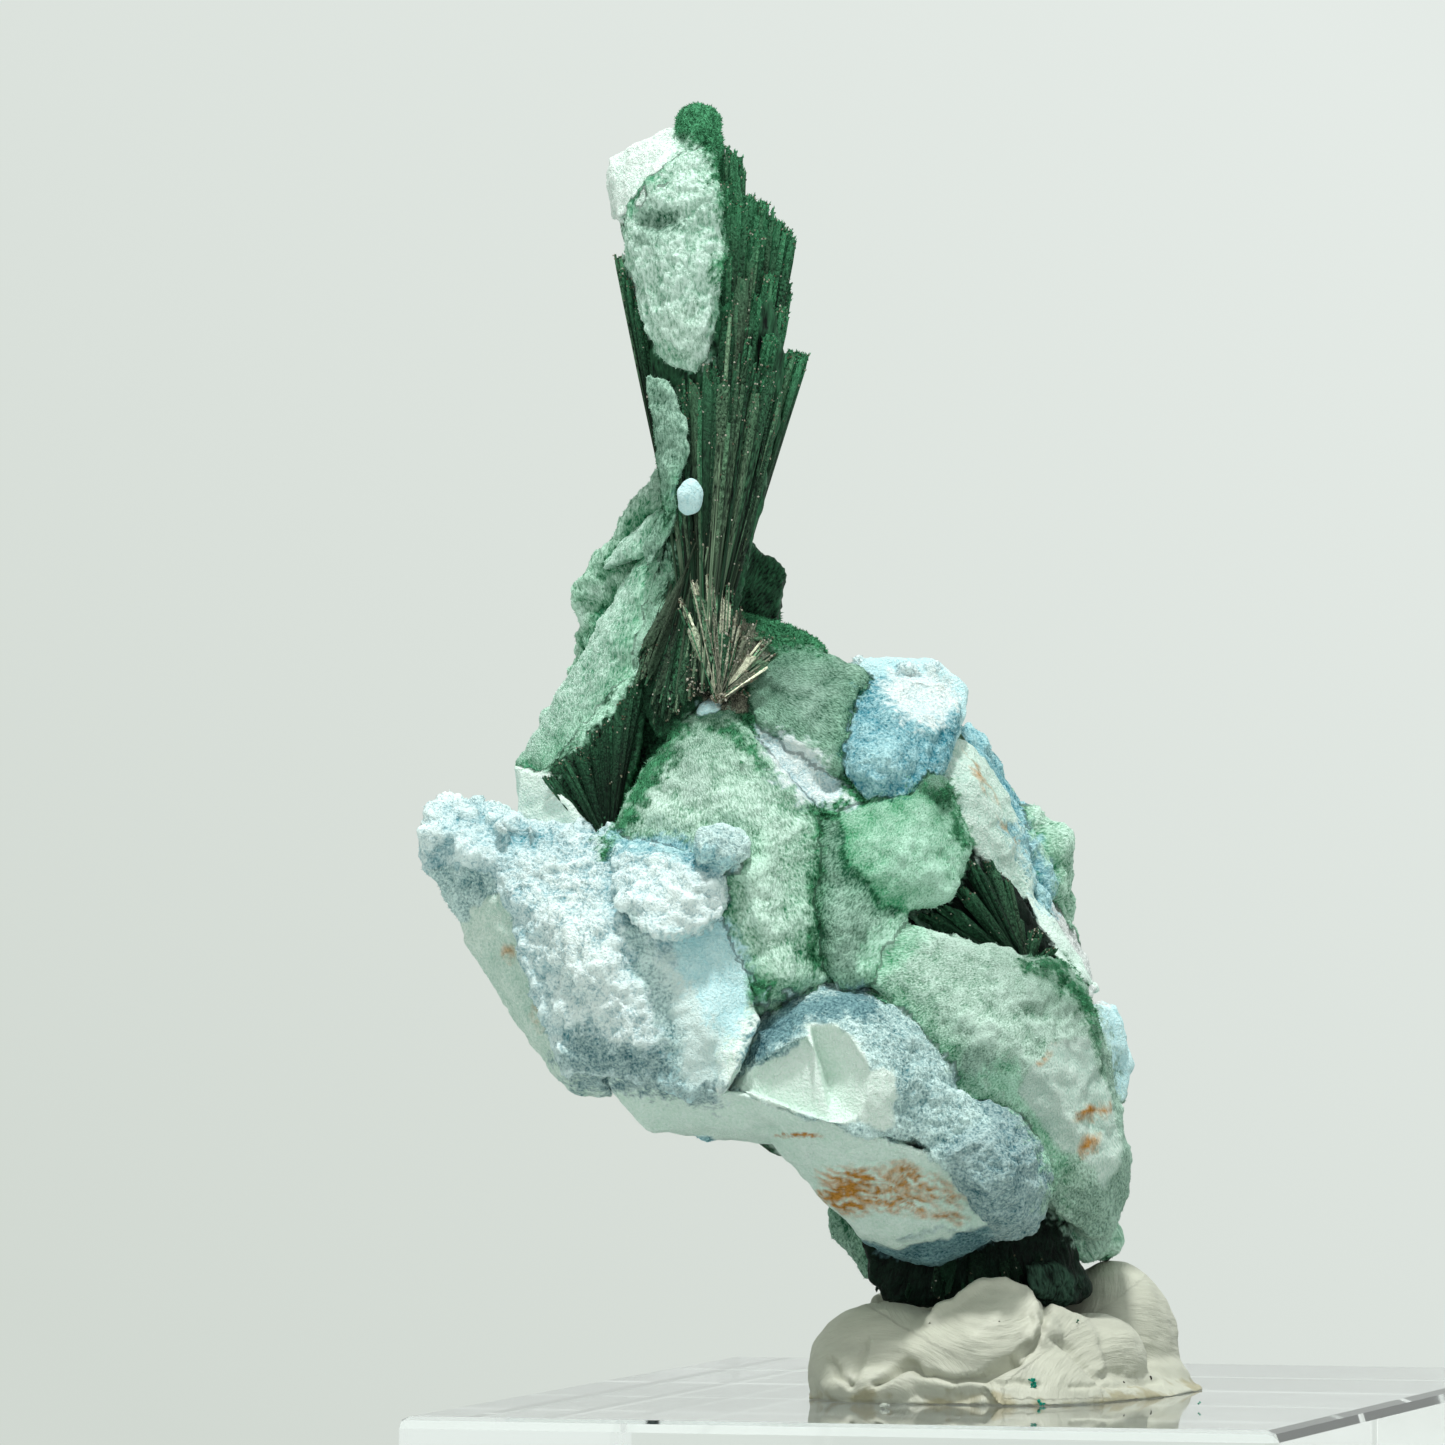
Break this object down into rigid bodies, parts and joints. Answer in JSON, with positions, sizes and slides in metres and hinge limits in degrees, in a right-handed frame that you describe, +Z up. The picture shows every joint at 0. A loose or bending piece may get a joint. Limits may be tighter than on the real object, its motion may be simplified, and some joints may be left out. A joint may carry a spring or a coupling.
{
  "type": "malachite with chrysocolla mineral specimen on a display block",
  "caption": "Mineral specimen with a fan-shaped fibrous malachite spire over a body of pale-coated sprays and blue-white chrysocolla crusts, held by grey putty on a clear block.",
  "frame": {"origin": "centre of the bottom face of the clear block", "axes": "+Z up along the specimen's tall spire, X along the block's short side, Y along its long side; the specimen faces -Y turned a little towards +X"},
  "size_m": [0.0431, 0.0508, 0.0688],
  "materials": {
    "malachite": "matte",
    "chrysocolla": "matte",
    "putty": "matte",
    "clear_block": "polished"
  },
  "bodies": {
    "root": {"specimen": "malachite", "putty": "putty", "base": "clear_block"}
  },
  "joints": []
}
